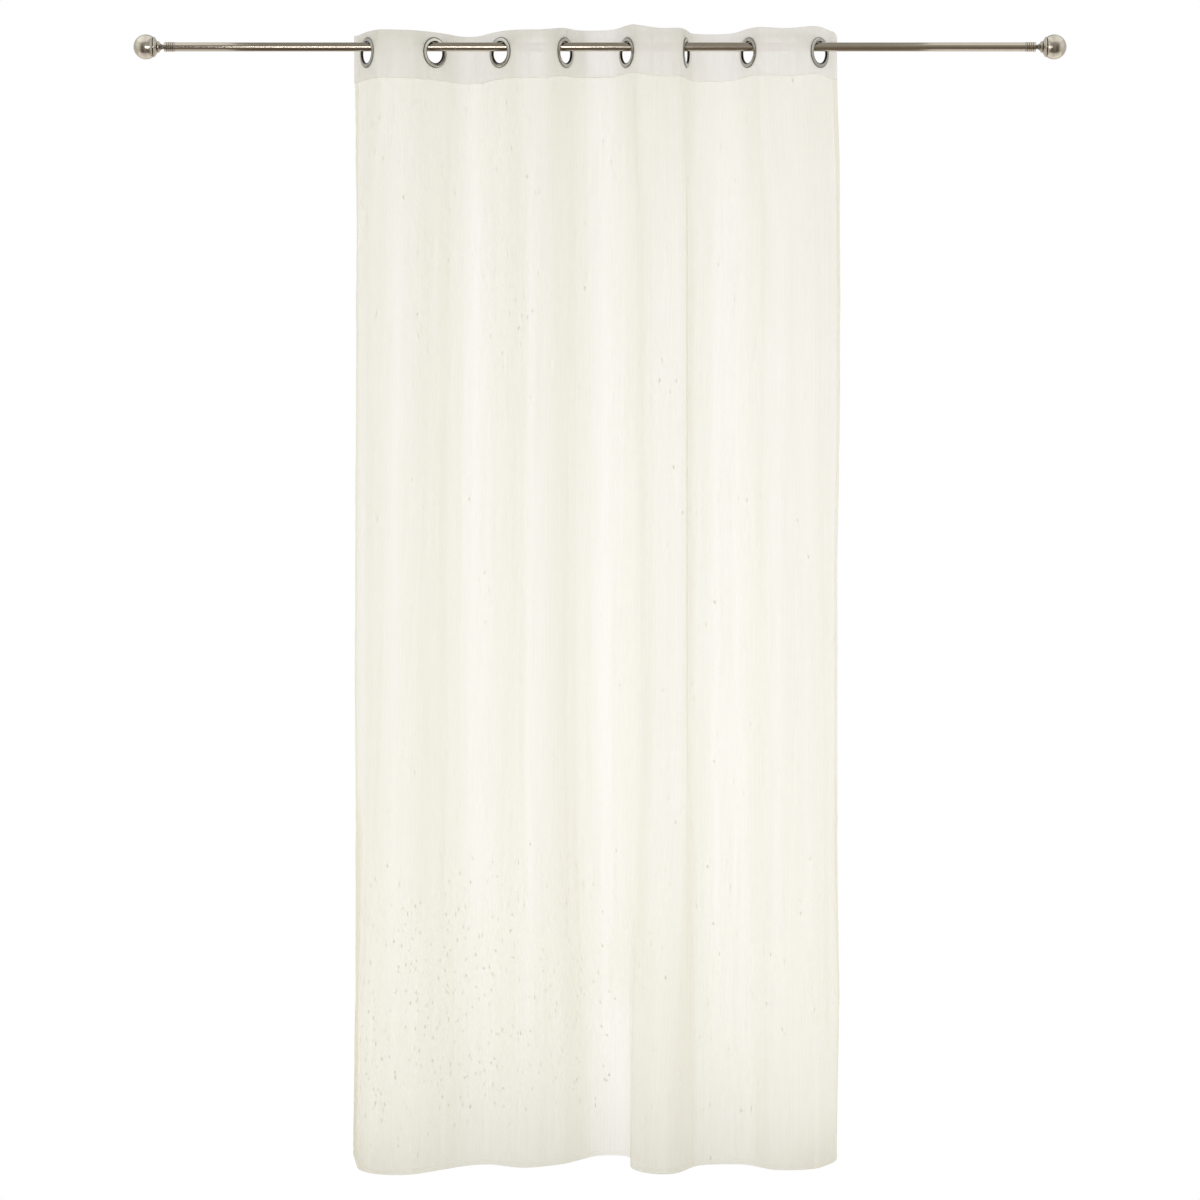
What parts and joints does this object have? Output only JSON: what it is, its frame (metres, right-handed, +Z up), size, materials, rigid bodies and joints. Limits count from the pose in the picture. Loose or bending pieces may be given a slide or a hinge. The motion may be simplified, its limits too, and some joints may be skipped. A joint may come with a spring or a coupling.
{
  "type": "sheer voile curtain with curtain rod",
  "caption": "Sheer ivory voile curtain drop hung in soft folds by metal eyelets in a stiffened heading band, on a straight metal curtain rod with ball finials.",
  "frame": {"origin": "on the curtain rod's axis, at the middle of its length", "axes": "+X along the rod to the viewer's right, +Y away from the viewer towards the window, +Z up; the cloth hangs below the rod"},
  "size_m": [1.9776, 0.1665, 2.4164],
  "materials": {
    "voile": "sheer plain weave with fine slubs, ivory",
    "heading": "doubled voile over a stiffener, ivory",
    "eyelet_metal": "satin nickel",
    "rod_metal": "brushed warm nickel",
    "finial_metal": "satin warm nickel"
  },
  "bodies": {
    "root": {"voile_panel": "voile", "heading_band": "heading", "eyelet_1": "eyelet_metal", "eyelet_2": "eyelet_metal", "eyelet_3": "eyelet_metal", "eyelet_4": "eyelet_metal", "eyelet_5": "eyelet_metal", "eyelet_6": "eyelet_metal", "eyelet_7": "eyelet_metal", "eyelet_8": "eyelet_metal", "rod": "rod_metal", "end_cap_left": "rod_metal", "end_cap_right": "rod_metal", "finial_left": "finial_metal", "finial_right": "finial_metal"}
  },
  "joints": []
}
